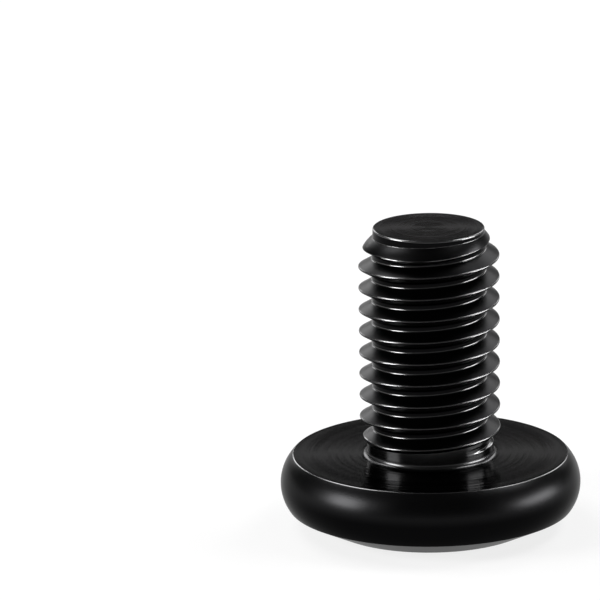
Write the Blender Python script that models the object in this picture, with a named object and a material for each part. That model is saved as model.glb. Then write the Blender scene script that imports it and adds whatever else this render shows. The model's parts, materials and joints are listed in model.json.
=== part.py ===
"""Button head socket cap screw, M8 x 1.25, in blackened steel.

The screw is one piece of steel: a wide head with a bevelled end face, a rounded rim and a hexagon
socket, a short plain neck, and a right-hand thread up to a small flat point. It stands on the end
face of its head. The origin is the centre of that face and +Z runs up the shank. All sizes are in
metres.
"""

import math

import bmesh
import bpy

MM = 0.001

# Head, from the end face at z = 0 up to the bearing face, which the rim's round overhangs
HEAD_DIAMETER = 17.0 * MM
HEAD_HEIGHT = 4.1 * MM
END_FACE_DIAMETER = 11.7 * MM
BEVEL_HEIGHT = 1.05 * MM
RIM_RADIUS = 2.3 * MM
RIM_OVERHANG = 0.73 * MM

# Hexagon socket in the end face, with a drill point at its bottom
SOCKET_ACROSS_FLATS = 7.0 * MM
SOCKET_DEPTH = 2.9 * MM
SOCKET_POINT_ANGLE = math.radians(120.0)

# Shank, from the bearing face up to the point
SHANK_LENGTH = 13.2 * MM
NECK_DIAMETER = 7.26 * MM
NECK_FILLET = 0.42 * MM
POINT_DIAMETER = 6.3 * MM
POINT_HEIGHT = 0.38 * MM
POINT_CHAMFER = 0.07 * MM

# Right-hand metric thread of basic form, with a 60 degree angle between its flanks
THREAD_DIAMETER = 7.95 * MM
THREAD_PITCH = 1.25 * MM
FLANK_ANGLE = math.radians(30.0)
CREST_FLAT = THREAD_PITCH / 8.0
THREAD_DEPTH = 17.0 / 24.0 * THREAD_PITCH * math.cos(FLANK_ANGLE)

# Ends of the thread: the last crest's height over the bearing face on the -X side, the height at
# which the last groove stops, how far it still bites there, and the slopes at the two ends
LAST_CREST_HEIGHT = 0.96 * MM
GROOVE_END_HEIGHT = 0.78 * MM
GROOVE_END_DEPTH = 0.1 * MM
GROOVE_RUN_OUT = THREAD_PITCH / 4.0
NECK_TOP_HEIGHT = 0.75 * MM
NECK_TAPER_ANGLE = math.radians(38.0)
LEAD_IN_ANGLE = math.radians(42.0)

# Facets round the axis, and along each curve of the outline
SEGMENTS = 48
RIM_STEPS = 9
FILLET_STEPS = 4
SOCKET_POINT_SEGMENTS = 36
SHARP_EDGE_ANGLE = math.radians(28.0)

# Working distances: how near two points are welded, how many pitches below its last crest the helix
# is started and how many turns it has to spare, and how near an end, in steps of its rise, it is
# brought level with that end
WELD_DISTANCE = 0.002 * MM
PITCHES_BELOW = 1.5
SPARE_TURNS = 2
LEVEL_STEPS = 0.6

# How far a cutter reaches past the end face, and how much wider than the hexagon's corners the drill is
CUTTER_OVERRUN = 1.0 * MM
DRILL_MARGIN = 0.1 * MM

BEARING_Z = HEAD_HEIGHT
TIP_Z = HEAD_HEIGHT + SHANK_LENGTH
THREAD_BOTTOM_Z = BEARING_Z + NECK_FILLET
THREAD_TOP_Z = TIP_Z - POINT_HEIGHT
NECK_RADIUS = NECK_DIAMETER / 2.0
CREST_RADIUS = THREAD_DIAMETER / 2.0
ROOT_RADIUS = CREST_RADIUS - THREAD_DEPTH
POINT_RADIUS = POINT_DIAMETER / 2.0


def clear_scene():
    """Empty the scene of whatever it opened with."""
    for scene_object in list(bpy.data.objects):
        bpy.data.objects.remove(scene_object, do_unlink=True)


def new_collection(name):
    collection = bpy.data.collections.new(name)
    bpy.context.scene.collection.children.link(collection)
    return collection


def black_steel():
    """Oil-blackened steel, as on high-tensile socket screws."""
    material = bpy.data.materials.new("black_steel")
    material.use_nodes = True
    shader = material.node_tree.nodes["Principled BSDF"]
    shader.inputs["Base Color"].default_value = (0.022, 0.022, 0.024, 1.0)
    shader.inputs["Roughness"].default_value = 0.3
    shader.inputs["Metallic"].default_value = 0.9
    return material


def arc(centre, radius, start, end, steps):
    """Points of an arc in the outline, from the start angle to the end angle, both included."""
    points = []
    for step in range(steps + 1):
        angle = start + (end - start) * step / steps
        points.append((centre[0] + radius * math.cos(angle), centre[1] + radius * math.sin(angle)))
    return points


def head_outline():
    """Outline of the head and neck as (radius, height), from the end face up to the thread."""
    rim_centre_radius = HEAD_DIAMETER / 2.0 - RIM_RADIUS
    top_angle = math.acos(1.0 - RIM_OVERHANG / RIM_RADIUS)
    rim_centre_z = BEARING_Z - RIM_RADIUS * math.sin(top_angle)
    bevel_angle = math.asin((BEVEL_HEIGHT - rim_centre_z) / RIM_RADIUS)
    outline = [(END_FACE_DIAMETER / 2.0, 0.0)]
    outline += arc((rim_centre_radius, rim_centre_z), RIM_RADIUS, bevel_angle, top_angle, RIM_STEPS)
    fillet_centre = (NECK_RADIUS + NECK_FILLET, BEARING_Z + NECK_FILLET)
    outline += arc(fillet_centre, NECK_FILLET, 1.5 * math.pi, math.pi, FILLET_STEPS)
    return outline


def point_outline():
    """Outline of the plain point as (radius, height), from the thread up to the tip's flat."""
    return [
        (POINT_RADIUS, THREAD_TOP_Z),
        (POINT_RADIUS, TIP_Z - POINT_CHAMFER),
        (POINT_RADIUS - POINT_CHAMFER, TIP_Z),
    ]


def add_turned_surface(mesh, outline, segments):
    """Turn an outline of (radius, height) round the axis."""
    corners = [mesh.verts.new((radius, 0.0, height)) for radius, height in outline]
    edges = [mesh.edges.new(pair) for pair in zip(corners, corners[1:])]
    bmesh.ops.spin(
        mesh, geom=corners + edges, cent=(0.0, 0.0, 0.0), axis=(0.0, 0.0, 1.0), dvec=(0.0, 0.0, 0.0),
        angle=2.0 * math.pi, steps=segments, use_merge=True,
    )


def thread_form():
    """One pitch of the thread as (radius, height over the middle of a crest)."""
    half_crest = CREST_FLAT / 2.0
    flank = THREAD_DEPTH * math.tan(FLANK_ANGLE)
    mid_radius = (CREST_RADIUS + ROOT_RADIUS) / 2.0
    return [
        (CREST_RADIUS, -half_crest),
        (CREST_RADIUS, half_crest),
        (mid_radius, half_crest + flank / 2.0),
        (ROOT_RADIUS, half_crest + flank),
        (ROOT_RADIUS, THREAD_PITCH - half_crest - flank),
        (mid_radius, THREAD_PITCH - half_crest - flank / 2.0),
        (CREST_RADIUS, THREAD_PITCH - half_crest),
    ]


def trimmed_radius(radius, height, angle):
    """Radius of the thread at a place, once the run-out at the neck and the lead-in are formed."""
    crest_z = BEARING_Z + LAST_CREST_HEIGHT + THREAD_PITCH * (angle - math.pi) / (2.0 * math.pi)
    groove_z = crest_z + (math.floor((height - crest_z) / THREAD_PITCH) + 0.5) * THREAD_PITCH
    along = (groove_z - BEARING_Z - GROOVE_END_HEIGHT) / GROOVE_RUN_OUT
    floor_radius = NECK_RADIUS
    if along >= 0.0:
        end_radius = NECK_RADIUS - GROOVE_END_DEPTH
        floor_radius = end_radius + (ROOT_RADIUS - end_radius) * min(along, 1.0)
    over_neck = max(height - BEARING_Z - NECK_TOP_HEIGHT, 0.0)
    neck_limit = NECK_RADIUS + over_neck * math.tan(NECK_TAPER_ANGLE)
    lead_in_limit = POINT_RADIUS + (THREAD_TOP_Z - height) * math.tan(LEAD_IN_ANGLE)
    return min(max(radius, floor_radius), neck_limit, lead_in_limit)


def add_thread(mesh):
    """Sweep the thread form up the shank as a helix, then trim it to the neck and the point."""
    step_rise = THREAD_PITCH / SEGMENTS
    turns = math.ceil((THREAD_TOP_Z - THREAD_BOTTOM_Z) / THREAD_PITCH) + SPARE_TURNS
    start_z = BEARING_Z + LAST_CREST_HEIGHT - PITCHES_BELOW * THREAD_PITCH
    corners = [mesh.verts.new((radius, 0.0, start_z + height)) for radius, height in thread_form()]
    edges = [mesh.edges.new(pair) for pair in zip(corners, corners[1:])]
    others = set(mesh.verts) - set(corners)
    bmesh.ops.spin(
        mesh, geom=corners + edges, cent=(0.0, 0.0, 0.0), axis=(0.0, 0.0, 1.0),
        dvec=(0.0, 0.0, step_rise), angle=2.0 * math.pi * turns, steps=SEGMENTS * turns,
    )
    for vertex in set(mesh.verts) - others:
        column = round(math.atan2(vertex.co.y, vertex.co.x) / (2.0 * math.pi) * SEGMENTS) % SEGMENTS
        angle = 2.0 * math.pi * column / SEGMENTS
        height = vertex.co.z
        if height < THREAD_BOTTOM_Z + LEVEL_STEPS * step_rise:
            radius, height = NECK_RADIUS, THREAD_BOTTOM_Z
        elif height > THREAD_TOP_Z - LEVEL_STEPS * step_rise:
            radius, height = POINT_RADIUS, THREAD_TOP_Z
        else:
            radius = trimmed_radius(math.hypot(vertex.co.x, vertex.co.y), height, angle)
        vertex.co = (radius * math.cos(angle), radius * math.sin(angle), height)


def close_surface(mesh):
    """Weld the surfaces where they meet, fill the flat ends, and turn all faces outwards."""
    bmesh.ops.remove_doubles(mesh, verts=mesh.verts, dist=WELD_DISTANCE)
    open_edges = [edge for edge in mesh.edges if edge.is_boundary]
    bmesh.ops.holes_fill(mesh, edges=open_edges, sides=0)
    bmesh.ops.recalc_face_normals(mesh, faces=mesh.faces)


def add_object(mesh, name, collection):
    data = bpy.data.meshes.new(name)
    mesh.to_mesh(data)
    mesh.free()
    new_object = bpy.data.objects.new(name, data)
    collection.objects.link(new_object)
    return new_object


def as_cutter(cutter):
    cutter.hide_render = True
    cutter.display_type = "WIRE"
    return cutter


def build_screw(collection, material):
    """The screw's outside as one closed surface, with the socket still to be cut."""
    mesh = bmesh.new()
    add_turned_surface(mesh, head_outline(), SEGMENTS)
    add_turned_surface(mesh, point_outline(), SEGMENTS)
    add_thread(mesh)
    close_surface(mesh)
    screw = add_object(mesh, "screw", collection)
    screw.data.materials.append(material)
    screw.data.shade_smooth()
    screw.data.set_sharp_from_angle(angle=SHARP_EDGE_ANGLE)
    return screw


def build_drill(collection):
    """The round hole that the hexagon is broached into, as a solid with its drill point upwards."""
    radius = SOCKET_ACROSS_FLATS / math.sqrt(3.0) + DRILL_MARGIN
    point_slope = 1.0 / math.tan(SOCKET_POINT_ANGLE / 2.0)
    shoulder_z = SOCKET_DEPTH - DRILL_MARGIN * point_slope
    outline = [(radius, -CUTTER_OVERRUN), (radius, shoulder_z), (0.0, shoulder_z + radius * point_slope)]
    mesh = bmesh.new()
    add_turned_surface(mesh, outline, SOCKET_POINT_SEGMENTS)
    close_surface(mesh)
    return as_cutter(add_object(mesh, "socket_drill", collection))


def build_hexagon(collection):
    """The hexagon broach, its corners along Y, which reaches past the drill's two ends."""
    radius = SOCKET_ACROSS_FLATS / math.sqrt(3.0)
    length = 2.0 * (CUTTER_OVERRUN + SOCKET_DEPTH + radius)
    mesh = bmesh.new()
    bmesh.ops.create_cone(
        mesh, cap_ends=True, segments=6, radius1=radius, radius2=radius, depth=length
    )
    return as_cutter(add_object(mesh, "socket_hexagon", collection))


def cut_socket(screw, collection):
    """Cut the socket: what the drilled hole and the hexagon have in common."""
    hexagon = build_hexagon(collection)
    boolean(hexagon, build_drill(collection), "INTERSECT")
    boolean(screw, hexagon, "DIFFERENCE")


def boolean(target, other, operation):
    modifier = target.modifiers.new(operation.lower(), "BOOLEAN")
    modifier.operation = operation
    modifier.solver = "EXACT"
    modifier.object = other


def main():
    clear_scene()
    parts = new_collection("button_head_socket_cap_screw")
    cutters = new_collection("cutters")
    screw = build_screw(parts, black_steel())
    cut_socket(screw, cutters)


main()
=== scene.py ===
"""Studio scene of an M8 button head socket cap screw in blackened steel, which stands on its head.

Lengths are in metres and +Z runs up the shank. Azimuths are seen from above: 0 is the camera's side of
the screw, 90 its right and -90 its left.
"""

import json
import math

import bmesh
import bpy
from mathutils import Matrix, Vector


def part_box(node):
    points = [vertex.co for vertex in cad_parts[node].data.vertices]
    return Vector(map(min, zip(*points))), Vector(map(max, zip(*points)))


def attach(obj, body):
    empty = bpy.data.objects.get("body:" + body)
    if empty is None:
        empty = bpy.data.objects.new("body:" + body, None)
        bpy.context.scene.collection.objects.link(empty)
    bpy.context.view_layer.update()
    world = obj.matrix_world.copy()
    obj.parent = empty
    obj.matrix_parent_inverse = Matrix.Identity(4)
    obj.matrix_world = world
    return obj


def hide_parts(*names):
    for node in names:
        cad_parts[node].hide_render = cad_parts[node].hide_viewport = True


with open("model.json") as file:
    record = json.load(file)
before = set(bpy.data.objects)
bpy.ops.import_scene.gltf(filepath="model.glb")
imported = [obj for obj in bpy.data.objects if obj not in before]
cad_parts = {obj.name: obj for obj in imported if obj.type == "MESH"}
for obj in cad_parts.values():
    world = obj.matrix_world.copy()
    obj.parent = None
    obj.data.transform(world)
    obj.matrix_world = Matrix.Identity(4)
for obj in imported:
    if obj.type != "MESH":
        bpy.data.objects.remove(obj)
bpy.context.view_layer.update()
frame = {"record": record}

MM = 0.001


# Screw, head: cold formed from the bar. A flat end face with a bevel round it, a bulging rim and a flat
# bearing face, which meets the neck in a small fillet. The socket is drilled, then broached to a hexagon
# whose corners lie along Y. All its edges are lightly broken.
COLUMNS = 144
EDGE_STEPS = 4

screw_low, screw_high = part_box("screw")
mounts = {mount["name"]: mount for mount in frame["record"]["mounts"]}
BEARING_Z = mounts["under_head"]["pos_m"][2]
TIP_Z = screw_high.z
HEAD_RADIUS = screw_high.x
END_FACE_RADIUS = 5.85 * MM
BEVEL_HEIGHT = 1.05 * MM
BEVEL_EDGE_ROUND = 0.12 * MM
RIM_RADIUS = 2.3 * MM
RIM_OVERHANG = 0.73 * MM
RIM_STEPS = 28
BEARING_EDGE_ROUND = 0.14 * MM
NECK_RADIUS = 3.58 * MM
NECK_FILLET = 0.3 * MM
FILLET_STEPS = 10
NECK_MARGIN = 0.04 * MM
SOCKET_ACROSS_FLATS = 7.0 * MM
SOCKET_DEPTH = 2.9 * MM
SOCKET_POINT_SLOPE = 1.0 / math.tan(math.radians(60.0))
SOCKET_LIP = 0.05 * MM
WELD_DISTANCE = 0.0005 * MM

THREAD_BOTTOM_Z = BEARING_Z + NECK_FILLET + NECK_MARGIN
HEXAGON_RADIUS = SOCKET_ACROSS_FLATS / math.sqrt(3.0)
SOCKET_APEX_Z = SOCKET_DEPTH + HEXAGON_RADIUS * SOCKET_POINT_SLOPE


def arc(centre, radius, start, end, steps):
    """Points of an arc in an outline of (radius, height), from the start angle to the end angle."""
    points = []
    for step in range(steps + 1):
        angle = start + (end - start) * step / steps
        points.append(Vector(centre) + radius * Vector((math.cos(angle), math.sin(angle))))
    return points


def rounded(corners, rounds):
    """An outline through these corners, in which a corner that has a round is drawn as an arc."""
    outline = [corners[0]]
    for index in range(1, len(corners) - 1):
        corner = Vector(corners[index])
        size = rounds.get(index, 0.0)
        if not size:
            outline.append(corner)
            continue
        back = (Vector(corners[index - 1]) - corner).normalized()
        onward = (Vector(corners[index + 1]) - corner).normalized()
        half = back.angle(onward) / 2.0
        centre = corner + (back + onward).normalized() * size / math.sin(half)
        first = corner + back * size / math.tan(half) - centre
        last = corner + onward * size / math.tan(half) - centre
        start = math.atan2(first.y, first.x)
        sweep = (math.atan2(last.y, last.x) - start + math.pi) % (2.0 * math.pi) - math.pi
        outline += arc(centre, size, start, start + sweep, EDGE_STEPS)
    outline.append(corners[-1])
    return outline


def turn(mesh, outline):
    """Turn an outline of (radius, height) round the axis."""
    corners = [mesh.verts.new((radius, 0.0, height)) for radius, height in outline]
    edges = [mesh.edges.new(pair) for pair in zip(corners, corners[1:])]
    bmesh.ops.spin(
        mesh, geom=corners + edges, cent=(0.0, 0.0, 0.0), axis=(0.0, 0.0, 1.0), dvec=(0.0, 0.0, 0.0),
        angle=2.0 * math.pi, steps=COLUMNS, use_merge=True,
    )


def head_outline():
    """Outline of the head as (radius, height), from the mouth of the socket out and up to the thread."""
    rim_centre_radius = HEAD_RADIUS - RIM_RADIUS
    top_angle = math.acos(1.0 - RIM_OVERHANG / RIM_RADIUS)
    rim_centre_z = BEARING_Z - RIM_RADIUS * math.sin(top_angle)
    bevel_angle = math.asin((BEVEL_HEIGHT - rim_centre_z) / RIM_RADIUS)
    rim = arc((rim_centre_radius, rim_centre_z), RIM_RADIUS, bevel_angle, top_angle, RIM_STEPS)
    fillet_z = BEARING_Z + NECK_FILLET
    fillet = arc((NECK_RADIUS + NECK_FILLET, fillet_z), NECK_FILLET, 1.5 * math.pi, math.pi, FILLET_STEPS)
    corners = [
        (HEXAGON_RADIUS + SOCKET_LIP, 0.0), (END_FACE_RADIUS, 0.0), *rim, *fillet,
        (NECK_RADIUS, THREAD_BOTTOM_Z),
    ]
    bevel_corner, bearing_corner = 2, 1 + len(rim)
    return rounded(corners, {
        1: BEVEL_EDGE_ROUND, bevel_corner: BEVEL_EDGE_ROUND, bearing_corner: BEARING_EDGE_ROUND,
    })


def broach(mesh):
    """Turn the drilled hole, then draw its round wall and the mouth round it in to the hexagon."""
    lip_radius = HEXAGON_RADIUS + SOCKET_LIP
    point = [HEXAGON_RADIUS / 2.0, HEXAGON_RADIUS / 16.0, 0.0]
    turn(mesh, [
        (lip_radius, 0.0), (HEXAGON_RADIUS, SOCKET_LIP), (HEXAGON_RADIUS, SOCKET_DEPTH),
        *((radius, SOCKET_APEX_Z - radius * SOCKET_POINT_SLOPE) for radius in point),
    ])
    sixth = math.radians(60.0)
    for vertex in mesh.verts:
        radius = math.hypot(vertex.co.x, vertex.co.y)
        in_point = radius < point[0] + WELD_DISTANCE
        outside = radius > lip_radius + WELD_DISTANCE or vertex.co.z > SOCKET_DEPTH + WELD_DISTANCE
        if in_point or outside:
            continue
        across = (math.atan2(vertex.co.y, vertex.co.x) + sixth / 2.0) % sixth - sixth / 2.0
        flat = math.cos(sixth / 2.0) / math.cos(across)
        vertex.co.x *= flat
        vertex.co.y *= flat
        if vertex.co.z > SOCKET_DEPTH / 2.0:
            vertex.co.z = SOCKET_APEX_Z - radius * flat * SOCKET_POINT_SLOPE


screw_mesh = bmesh.new()
turn(screw_mesh, head_outline())
broach(screw_mesh)


# Screw, shank: a plain neck, then a right-hand M8 x 1.25 thread rolled into the steel. Rolling leaves
# rounded crests and roots, a last groove that fades out in the neck, and at the point a first ridge
# that folds over on one side. The lead-in is a cone turned a little askew under a short plain end.
THREAD_RADIUS = 3.975 * MM
THREAD_PITCH = 1.25 * MM
FLANK_ANGLE = math.radians(30.0)
CREST_FLAT = THREAD_PITCH / 15.0
CREST_ROUND = 0.07 * MM
ROOT_ROUND = 0.1 * MM
THREAD_DEPTH = 17.0 / 24.0 * THREAD_PITCH * math.cos(FLANK_ANGLE)
ROOT_RADIUS = THREAD_RADIUS - THREAD_DEPTH
FLANK_STEP = 0.16 * MM
EDGE_BAND = 0.025 * MM
LAST_CREST_HEIGHT = 0.96 * MM
GROOVE_END_HEIGHT = 0.76 * MM
GROOVE_BLEND = 0.04 * MM
GROOVE_RUN_OUT = THREAD_PITCH / 4.0
NECK_TOP_HEIGHT = 0.68 * MM
NECK_BLEND = 0.05 * MM
NECK_TAPER_SLOPE = 0.5
NECK_OPENING = 1.5
NECK_OPEN_SIDE = math.radians(-70.0)
NECK_OPEN_REACH = math.radians(95.0)
LEAD_IN_SLOPE = 1.25
LEAD_IN_CURVE = 0.44 / MM
LEAD_IN_LENGTH = 0.72 * MM
LEAD_IN_OPENING = 3.0
STEEPENING = 0.62
STEEP_SIDE = math.radians(-30.0)
STEEP_REACH = math.radians(75.0)
LEAD_IN_TILT = 0.13 * MM
FOOT_DEPTH = 0.05 * MM
FOOT_ROUND = 0.04 * MM
END_TURNS = 1.6 * MM
END_CUTS = 3
FOLD_DEPTH = 0.15 * MM
FOLD_SIDE = math.radians(-100.0)
FOLD_REACH = math.radians(65.0)
FOOT_BLEND = 0.045 * MM
POINT_RADIUS = 3.15 * MM
POINT_HEIGHT = 0.21 * MM
POINT_ROUND = 0.08 * MM
POINT_WALL_START = 0.07 * MM
POINT_FACE_START = 0.15 * MM
SHARP_FROM = math.radians(34.0)
FLAT_FACE_WEIGHT = 75
# Share of edge and hollow brightness kept by how far a place looks up: painted shade on what looks down
SIDEWAYS_LIGHT_SHARE = 0.5
LIGHT_SHARE_RISE = 3.0

THREAD_TOP_Z = TIP_Z - POINT_HEIGHT
FOOT_Z = THREAD_TOP_Z - FOOT_DEPTH - LEAD_IN_TILT


def thread_form():
    """One pitch of the thread as (radius, height over the middle of a root), its flanks in short steps."""
    half_crest = CREST_FLAT / 2.0
    flank = THREAD_DEPTH * math.tan(FLANK_ANGLE)
    crest_z = THREAD_PITCH / 2.0
    corners = [
        (ROOT_RADIUS, 0.0),
        (ROOT_RADIUS, crest_z - half_crest - flank),
        (THREAD_RADIUS, crest_z - half_crest),
        (THREAD_RADIUS, crest_z + half_crest),
        (ROOT_RADIUS, crest_z + half_crest + flank),
        (ROOT_RADIUS, THREAD_PITCH),
    ]
    outline = rounded(corners, {1: ROOT_ROUND, 2: CREST_ROUND, 3: CREST_ROUND, 4: ROOT_ROUND})
    form = [Vector(outline[0])]
    for point in outline[1:]:
        last, point = form[-1], Vector(point)
        length = (point - last).length
        if length > 3.0 * EDGE_BAND:
            margin = EDGE_BAND / length
            steps = math.ceil((length - 2.0 * EDGE_BAND) / FLANK_STEP)
            shares = [margin + (1.0 - 2.0 * margin) * step / steps for step in range(steps + 1)]
            form += [last.lerp(point, share) for share in shares]
        form.append(point)
    return form


def softer(first, second, blend):
    """The smaller of two radii, with a rounded edge where one takes over from the other."""
    share = max(0.0, min(1.0, 0.5 + (second - first) / (2.0 * blend)))
    return second + (first - second) * share - blend * share * (1.0 - share)


def swell(angle, side, reach):
    """1 on one side of the axis, falling smoothly to 0 at its reach on both hands."""
    away = abs((angle - side + math.pi) % (2.0 * math.pi) - math.pi)
    return math.cos(min(away / reach, 1.0) * math.pi / 2.0) ** 2


def trimmed_radius(radius, height, angle):
    """Radius of the thread at a place, once the run-out at the neck and the lead-in are formed."""
    # Height of the groove that the place lies in, between two crests of the helix
    crest_z = BEARING_Z + LAST_CREST_HEIGHT + THREAD_PITCH * (angle - math.pi) / (2.0 * math.pi)
    groove_z = crest_z + (math.floor((height - crest_z) / THREAD_PITCH) + 0.5) * THREAD_PITCH

    # The lower flank of the first ridge, folded down on one side
    if groove_z > THREAD_TOP_Z - THREAD_PITCH:
        fold = FOLD_DEPTH * swell(angle, FOLD_SIDE, FOLD_REACH)
        flank = THREAD_DEPTH * math.tan(FLANK_ANGLE)
        root_edge_z = groove_z + THREAD_PITCH / 2.0 - CREST_FLAT / 2.0 - flank
        folded = ROOT_RADIUS + (height - root_edge_z + fold) / math.tan(FLANK_ANGLE)
        radius = max(radius, min(folded, THREAD_RADIUS))

    # The last groove, which gets shallower and narrower until it ends in the neck
    along = max(groove_z - BEARING_Z - GROOVE_END_HEIGHT, 0.0) / GROOVE_RUN_OUT
    fading = max(1.0 - along, 0.0)
    groove = radius + fading * (NECK_RADIUS + GROOVE_BLEND - ROOT_RADIUS)

    # The cone over the neck, in which the last ridge fades
    over_neck = max(height - BEARING_Z - NECK_TOP_HEIGHT, 0.0)
    opening = NECK_TAPER_SLOPE + NECK_OPENING * swell(angle, NECK_OPEN_SIDE, NECK_OPEN_REACH)
    neck_limit = NECK_RADIUS + over_neck * opening
    neck_blend = min(NECK_BLEND, over_neck * opening)
    ridge = softer(max(radius, NECK_RADIUS), neck_limit, neck_blend) if over_neck else NECK_RADIUS

    # The lead-in, steeper on one side, from its askew foot outwards and down
    slope = LEAD_IN_SLOPE - STEEPENING * swell(angle, STEEP_SIDE, STEEP_REACH)
    below_foot = max(FOOT_Z + LEAD_IN_TILT * math.cos(angle) - height, 0.0)
    within = min(below_foot, LEAD_IN_LENGTH)
    lead_in_limit = POINT_RADIUS + slope * within * (1.0 - LEAD_IN_CURVE * within)
    lead_in_limit += (below_foot - within) * LEAD_IN_OPENING

    radius = softer(ridge, groove, max(fading * GROOVE_BLEND, WELD_DISTANCE))
    return softer(radius, lead_in_limit, FOOT_BLEND)


def column_of(vertex):
    """Number of the column that a vertex stands in, counted round the axis."""
    return round(math.atan2(vertex.co.y, vertex.co.x) / (2.0 * math.pi) * COLUMNS) % COLUMNS


def roll_thread():
    """Sweep the thread form once round the shank as a helix, repeat that turn upwards, and trim it."""
    mesh = bmesh.new()
    rise = THREAD_PITCH / COLUMNS
    start_z = BEARING_Z + LAST_CREST_HEIGHT - 2.0 * THREAD_PITCH
    corners = [mesh.verts.new((radius, 0.0, start_z + height)) for radius, height in thread_form()]
    edges = [mesh.edges.new(pair) for pair in zip(corners, corners[1:])]
    bmesh.ops.spin(
        mesh, geom=corners + edges, cent=(0.0, 0.0, 0.0), axis=(0.0, 0.0, 1.0),
        dvec=(0.0, 0.0, rise), angle=2.0 * math.pi, steps=COLUMNS,
    )
    first_turn = [*mesh.verts, *mesh.faces]
    for turn_index in range(1, math.ceil((THREAD_TOP_Z - start_z) / THREAD_PITCH)):
        copy = bmesh.ops.duplicate(mesh, geom=first_turn)["geom"]
        copied = [part for part in copy if isinstance(part, bmesh.types.BMVert)]
        bmesh.ops.translate(mesh, verts=copied, vec=(0.0, 0.0, turn_index * THREAD_PITCH))

    # Finer steps over the turns at both ends, and edge loops along the foot of the lead-in
    uprights = [
        edge for edge in mesh.edges if edge.calc_length() > EDGE_BAND * 2.0
        and not BEARING_Z + END_TURNS < edge.verts[0].co.z < THREAD_TOP_Z - END_TURNS
        and column_of(edge.verts[0]) == column_of(edge.verts[1])
    ]
    bmesh.ops.subdivide_edges(mesh, edges=uprights, cuts=END_CUTS)
    for offset in (-FOOT_ROUND, 0.0, FOOT_ROUND):
        bmesh.ops.bisect_plane(
            mesh, geom=[*mesh.verts, *mesh.edges, *mesh.faces], dist=WELD_DISTANCE,
            plane_co=(0.0, 0.0, FOOT_Z + offset),
            plane_no=(-LEAD_IN_TILT / THREAD_RADIUS, 0.0, 1.0),
        )

    for vertex in mesh.verts:
        angle = math.atan2(vertex.co.y, vertex.co.x) % (2.0 * math.pi)
        height = vertex.co.z
        if height < THREAD_BOTTOM_Z + rise:
            radius, height = NECK_RADIUS, THREAD_BOTTOM_Z
        elif height > THREAD_TOP_Z - rise:
            radius, height = POINT_RADIUS, THREAD_TOP_Z
        else:
            radius = trimmed_radius(math.hypot(vertex.co.x, vertex.co.y), height, angle)
        vertex.co = (radius * math.cos(angle), radius * math.sin(angle), height)
    return mesh


turn(screw_mesh, rounded([
    (POINT_RADIUS, THREAD_TOP_Z), (POINT_RADIUS, THREAD_TOP_Z + POINT_WALL_START), (POINT_RADIUS, TIP_Z),
    (POINT_RADIUS - POINT_FACE_START, TIP_Z), (POINT_RADIUS / 2.0, TIP_Z), (0.0, TIP_Z),
], {2: POINT_ROUND}))
thread_mesh = roll_thread()
thread_data = bpy.data.meshes.new("thread")
thread_mesh.to_mesh(thread_data)
thread_mesh.free()
screw_mesh.from_mesh(thread_data)
bpy.data.meshes.remove(thread_data)
bmesh.ops.remove_doubles(screw_mesh, verts=screw_mesh.verts, dist=WELD_DISTANCE)
bmesh.ops.recalc_face_normals(screw_mesh, faces=screw_mesh.faces)

# How sharply each place turns, as an edge (above 0) or as a hollow corner (below 0). Above the bearing
# face, edges and hollows that look down count for less: a painted shade, as if the light fell from above.
turning = screw_mesh.verts.layers.float.new("edge_turning")
screw_mesh.normal_update()
for vertex in screw_mesh.verts:
    turns = [edge.calc_face_angle_signed() for edge in vertex.link_edges]
    # Painted shade: edges and hollows that look down keep less of their brightness
    lit_share = min(max(SIDEWAYS_LIGHT_SHARE + vertex.normal.z * LIGHT_SHARE_RISE, 0.0), 1.0)
    vertex[turning] = max(turns, key=abs) * (lit_share if vertex.co.z > BEARING_Z else 1.0)

screw_data = bpy.data.meshes.new("screw_surface")
screw_mesh.to_mesh(screw_data)
screw_mesh.free()
screw_data.shade_smooth()
screw_data.set_sharp_from_angle(angle=SHARP_FROM)
screw = bpy.data.objects.new("screw_surface", screw_data)
bpy.context.scene.collection.objects.link(screw)
weighting = screw.modifiers.new("flat faces keep their own normals", "WEIGHTED_NORMAL")
weighting.keep_sharp = True
weighting.weight = FLAT_FACE_WEIGHT


# Screw, finish: black oxide over steel, oiled. Near black and glossy, with fine marks that run round
# the axis, left by the turning of the faces and by the rolling of the thread. Faces that look down are
# painted blackest, a painted shade. The edges are worn to bright steel, the hollow corners are painted
# lighter as a highlight along them, and the turned wall of the neck is painted lighter as a sheen.
OXIDE = (0.013, 0.013, 0.0135, 1.0)
THIN_OXIDE = (0.0165, 0.0165, 0.017, 1.0)
# Painted shade: the near black of faces that look down
PAINTED_SHADE_OXIDE = (0.003, 0.003, 0.0032, 1.0)
# Painted sheen: lighter steel on the wall of the neck
PAINTED_NECK_SHEEN = (0.07, 0.07, 0.071, 1.0)
# Painted highlight: lighter steel in the hollow corners
PAINTED_HOLLOW_HIGHLIGHT = (0.12, 0.12, 0.121, 1.0)
EDGE_STEEL = (0.17, 0.17, 0.172, 1.0)
GRAZING_TINT = (0.6, 0.6, 0.6, 1.0)
WEAR_AND_HIGHLIGHT_FROM = math.radians(6.0)
WEAR_AND_HIGHLIGHT_TO = math.radians(12.0)
MARKS_PER_MM = 36.0
MARK_TILT = 0.04
FLAT_FACE_MARK_TILT = 0.6
FLAT_FROM, FLAT_TO = 0.97, 0.998
PATCHES_PER_METRE = 900.0
UNDERSIDE_SHADE_FROM, UNDERSIDE_SHADE_TO = -0.35, 0.1
NECK_FOOT_FROM, NECK_FOOT_TO = 0.2 * MM, 0.45 * MM
NECK_WALL_FROM, NECK_WALL_TO = 3.66 * MM, 3.62 * MM
NECK_END_FROM, NECK_END_TO = 1.25 * MM, 1.15 * MM
ROUGHNESS = 0.30
PATCH_ROUGHNESS = 0.04
WORN_GLOSS = 0.12
NECK_GLOSS = 0.13
FLAT_FACE_GLOSS = 0.22


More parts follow.
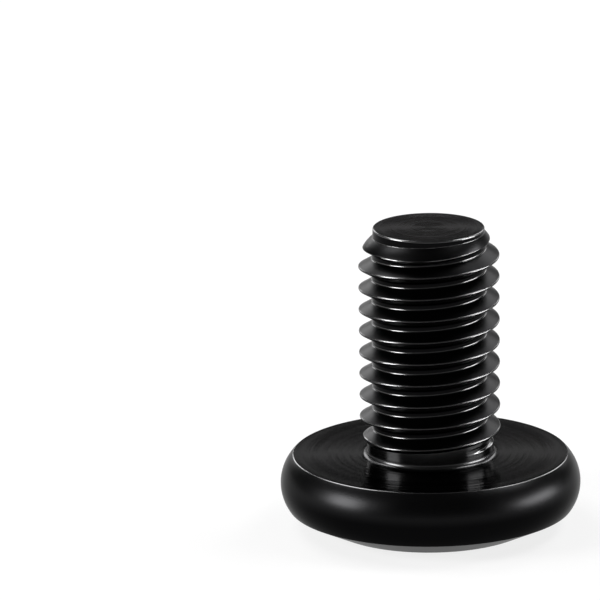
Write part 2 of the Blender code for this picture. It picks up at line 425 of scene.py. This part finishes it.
class Value:
    """A value in a material, on which arithmetic adds Math nodes."""

    def __init__(self, tree, socket):
        self.tree = tree
        self.socket = socket

    def math(self, operation, first, second):
        return node(self.tree, "ShaderNodeMath", {"operation": operation}, {0: first, 1: second})

    def larger(self, other):
        return self.math("MAXIMUM", self, other)

    def __add__(self, other):
        return self.math("ADD", self, other)

    def __radd__(self, other):
        return self.math("ADD", other, self)

    def __sub__(self, other):
        return self.math("SUBTRACT", self, other)

    def __rsub__(self, other):
        return self.math("SUBTRACT", other, self)

    def __mul__(self, other):
        return self.math("MULTIPLY", self, other)

    def __rmul__(self, other):
        return self.math("MULTIPLY", other, self)

    def __truediv__(self, other):
        return self.math("DIVIDE", self, other)

    def __pow__(self, other):
        return self.math("POWER", self, other)


def node(tree, kind, settings, inputs, output=0):
    """Add a node: its settings first, then the values or links of its sockets. Gives one output."""
    new = tree.nodes.new(kind)
    for name, setting in settings.items():
        setattr(new, name, setting)
    for name, value in inputs.items():
        if isinstance(value, Value):
            tree.links.new(value.socket, new.inputs[name])
        else:
            new.inputs[name].default_value = value
    return Value(tree, new.outputs[output]) if new.outputs else None


def smooth_step(value, start, end):
    """0 up to the start and 1 from the end, with a smooth step between them."""
    return node(value.tree, "ShaderNodeMapRange", {"interpolation_type": "SMOOTHSTEP"}, {
        "Value": value, "From Min": start, "From Max": end,
    })


def mixed(tree, share, first, second):
    """The first colour, with this share of the second over it."""
    return node(tree, "ShaderNodeMix", {"data_type": "RGBA"}, {"Factor": share, 6: first, 7: second}, 2)


def black_oxide():
    material = bpy.data.materials.new("black_steel")
    material.use_nodes = True
    tree = material.node_tree
    shader = tree.nodes["Principled BSDF"]
    shader.inputs["Metallic"].default_value = 1.0
    shader.inputs["Specular Tint"].default_value = GRAZING_TINT

    place = node(tree, "ShaderNodeTexCoord", {}, {}, "Object")
    normal = node(tree, "ShaderNodeNewGeometry", {}, {}, "Normal")
    x = node(tree, "ShaderNodeSeparateXYZ", {}, {0: place}, "X")
    y = node(tree, "ShaderNodeSeparateXYZ", {}, {0: place}, "Y")
    z = node(tree, "ShaderNodeSeparateXYZ", {}, {0: place}, "Z")
    up = node(tree, "ShaderNodeSeparateXYZ", {}, {0: normal}, "Z")
    radius = (x * x + y * y) ** 0.5
    over_bearing = z - BEARING_Z

    # Marks round the axis: the normal tilts across them, most on the faces that were turned flat
    flat_face = smooth_step(up * up, FLAT_FROM, FLAT_TO)
    across = node(tree, "ShaderNodeCombineXYZ", {}, {"X": radius / MM, "Y": z / MM})
    marks = node(tree, "ShaderNodeTexNoise", {}, {"Vector": across, "Scale": MARKS_PER_MM, "Detail": 2.0})
    tilt = (marks - 0.5) * (MARK_TILT + flat_face * FLAT_FACE_MARK_TILT)
    round_axis = node(tree, "ShaderNodeCombineXYZ", {}, {"X": 0.0 - y, "Y": x})
    round_axis = node(tree, "ShaderNodeVectorMath", {"operation": "NORMALIZE"}, {0: round_axis})
    over_marks = node(
        tree, "ShaderNodeVectorMath", {"operation": "CROSS_PRODUCT"}, {0: normal, 1: round_axis},
    )
    tilted = node(tree, "ShaderNodeVectorMath", {"operation": "SCALE"}, {0: over_marks, "Scale": tilt})
    marked = node(tree, "ShaderNodeVectorMath", {"operation": "ADD"}, {0: normal, 1: tilted})
    marked = node(tree, "ShaderNodeVectorMath", {"operation": "NORMALIZE"}, {0: marked})

    # Oxide, then painted shade on faces that look down, a painted sheen on the neck wall, a painted
    # highlight in the hollow corners and worn steel on the edges
    patches = node(
        tree, "ShaderNodeTexNoise", {}, {"Vector": place, "Scale": PATCHES_PER_METRE, "Detail": 3.0},
    )
    turning = node(tree, "ShaderNodeAttribute", {"attribute_name": "edge_turning"}, {}, "Fac")
    edge = smooth_step(turning, WEAR_AND_HIGHLIGHT_FROM, WEAR_AND_HIGHLIGHT_TO)
    # The hollow corners are painted lighter: a painted highlight along them
    hollow = smooth_step(0.0 - turning, WEAR_AND_HIGHLIGHT_FROM, WEAR_AND_HIGHLIGHT_TO)
    # Faces that look down are painted near black: a painted shade
    underside_shade = smooth_step(0.0 - up, UNDERSIDE_SHADE_FROM, UNDERSIDE_SHADE_TO)
    # The wall of the neck is painted lighter: a painted sheen
    over_foot = smooth_step(over_bearing / MM, NECK_FOOT_FROM / MM, NECK_FOOT_TO / MM)
    in_wall = smooth_step(radius / MM, NECK_WALL_FROM / MM, NECK_WALL_TO / MM)
    under_thread = smooth_step(over_bearing / MM, NECK_END_FROM / MM, NECK_END_TO / MM)
    neck = over_foot * in_wall * under_thread
    tone = mixed(tree, patches, OXIDE, THIN_OXIDE)
    for share, colour in (
        (underside_shade, PAINTED_SHADE_OXIDE), (neck, PAINTED_NECK_SHEEN), (hollow, PAINTED_HOLLOW_HIGHLIGHT), (edge, EDGE_STEEL),
    ):
        tone = mixed(tree, share, tone, colour)
    roughness = ROUGHNESS + patches * PATCH_ROUGHNESS - (edge + hollow) * WORN_GLOSS
    roughness = roughness - neck * NECK_GLOSS - flat_face * FLAT_FACE_GLOSS
    tree.links.new(tone.socket, shader.inputs["Base Color"])
    tree.links.new(roughness.socket, shader.inputs["Roughness"])
    tree.links.new(marked.socket, shader.inputs["Normal"])
    return material


screw_data.materials.append(black_oxide())
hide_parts("screw")
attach(screw, "root")


# Floor: a wide sheet of pale matt board, which runs out to the horizon. The camera and reflections see
# it nearly white, and it keeps the screw's soft shadow.
FLOOR_SIZE = 60.0
BOARD = (0.9, 0.9, 0.9, 1.0)
WHITE = (1.0, 1.0, 1.0, 1.0)
SEEN_WHITE = 0.8
floor_mesh = bmesh.new()
bmesh.ops.create_grid(floor_mesh, x_segments=1, y_segments=1, size=FLOOR_SIZE / 2.0)
floor_data = bpy.data.meshes.new("floor")
floor_mesh.to_mesh(floor_data)
floor_mesh.free()
floor = bpy.data.objects.new("floor", floor_data)
bpy.context.scene.collection.objects.link(floor)


def pale_board():
    material = bpy.data.materials.new("pale_board")
    material.use_nodes = True
    tree = material.node_tree
    tree.nodes.clear()
    camera_ray = node(tree, "ShaderNodeLightPath", {}, {}, "Is Camera Ray")
    glossy_ray = node(tree, "ShaderNodeLightPath", {}, {}, "Is Glossy Ray")
    through_ray = node(tree, "ShaderNodeLightPath", {}, {}, "Is Transmission Ray")
    seen = camera_ray.larger(glossy_ray).larger(through_ray)
    board = node(tree, "ShaderNodeBsdfDiffuse", {}, {"Color": BOARD})
    glow = node(tree, "ShaderNodeEmission", {}, {"Color": WHITE, "Strength": 1.0})
    both = node(tree, "ShaderNodeMixShader", {}, {0: seen * SEEN_WHITE, 1: board, 2: glow})
    node(tree, "ShaderNodeOutputMaterial", {}, {"Surface": both})
    return material


floor_data.materials.append(pale_board())


# Light: soft boxes on both sides, higher ones and two far ones behind them, and a dim strip at the back
# that the flat faces mirror. The studio is dim, and its far wall is pale at the horizon.
BOX_DISTANCE = 0.5
WALL_GLOW = 1.0
STUDIO_GLOW = 0.07
WALL_FROM = math.sin(math.radians(1.0))
WALL_TO = math.sin(math.radians(5.0))


def soft_box(name, azimuth, elevation, width, height, brightness):
    """Add a soft box. Its place and size are in degrees, as seen from the screw."""
    lamp = bpy.data.lights.new(name, "AREA")
    lamp.shape = "RECTANGLE"
    lamp.size = 2.0 * BOX_DISTANCE * math.tan(math.radians(width / 2.0))
    lamp.size_y = 2.0 * BOX_DISTANCE * math.tan(math.radians(height / 2.0))
    lamp.energy = brightness * math.pi * lamp.size * lamp.size_y
    box = bpy.data.objects.new(name, lamp)
    bpy.context.scene.collection.objects.link(box)
    side, up = math.radians(azimuth), math.radians(elevation)
    outward = Vector((math.sin(side) * math.cos(up), -math.cos(side) * math.cos(up), math.sin(up)))
    middle = Vector((0.0, 0.0, (screw_low.z + screw_high.z) / 2.0))
    turned = outward.to_track_quat("Z", "Y").to_matrix().to_4x4()
    box.matrix_world = Matrix.Translation(middle + BOX_DISTANCE * outward) @ turned


soft_box("left_box", -72.0, 20.0, 24.0, 22.0, 20.0)
soft_box("right_box", 90.0, 9.0, 36.0, 14.0, 17.0)
soft_box("right_high_box", 110.0, 54.0, 26.0, 18.0, 8.5)
soft_box("back_left_box", -130.0, 54.0, 34.0, 22.0, 6.5)
soft_box("far_left_box", -156.0, 18.0, 16.0, 22.0, 5.5)
soft_box("far_right_box", 150.0, 27.0, 14.0, 30.0, 5.5)
soft_box("back_strip", 180.0, 17.0, 60.0, 2.6, 0.75)

world = bpy.data.worlds.new("studio")
bpy.context.scene.world = world
world.use_nodes = True
studio = world.node_tree
studio.nodes.clear()
direction = node(studio, "ShaderNodeTexCoord", {}, {}, "Generated")
height = node(studio, "ShaderNodeSeparateXYZ", {}, {0: direction}, "Z")
glow = WALL_GLOW + smooth_step(height, WALL_FROM, WALL_TO) * (STUDIO_GLOW - WALL_GLOW)
wall = node(studio, "ShaderNodeBackground", {}, {"Color": WHITE, "Strength": glow})
node(studio, "ShaderNodeOutputWorld", {}, {"Surface": wall})


# Camera: a long lens, 17 degrees above the bearing face, which sees the screw at the lower right of the
# square picture and leans a little.
PICTURE_SIDE = 600.0
AXIS_PIXEL = (430.3, 452.1)
PIXELS_PER_METRE = 17650.0
CAMERA_ELEVATION = math.radians(17.0)
LEAN = math.radians(-0.45)
LENS_LENGTH = 400.0
SENSOR_WIDTH = 36.0

lens = bpy.data.cameras.new("camera")
lens.lens = LENS_LENGTH
lens.sensor_width = SENSOR_WIDTH
camera = bpy.data.objects.new("camera", lens)
bpy.context.scene.collection.objects.link(camera)
bpy.context.scene.camera = camera

focal_pixels = LENS_LENGTH / SENSOR_WIDTH * PICTURE_SIDE
aim = Vector((0.0, 0.0, BEARING_Z))
towards_camera = Vector((0.0, -math.cos(CAMERA_ELEVATION), math.sin(CAMERA_ELEVATION)))
camera.location = aim + towards_camera * focal_pixels / PIXELS_PER_METRE
in_lens = Vector((
    AXIS_PIXEL[0] - PICTURE_SIDE / 2.0, PICTURE_SIDE / 2.0 - AXIS_PIXEL[1], -focal_pixels,
)).normalized()
straight = (-towards_camera).to_track_quat("-Z", "Y")
roll = Matrix.Rotation(LEAN, 3, "Z").to_quaternion()
camera.rotation_mode = "QUATERNION"
camera.rotation_quaternion = straight @ roll @ in_lens.rotation_difference(Vector((0.0, 0.0, -1.0)))

bpy.context.scene.view_settings.view_transform = "Standard"
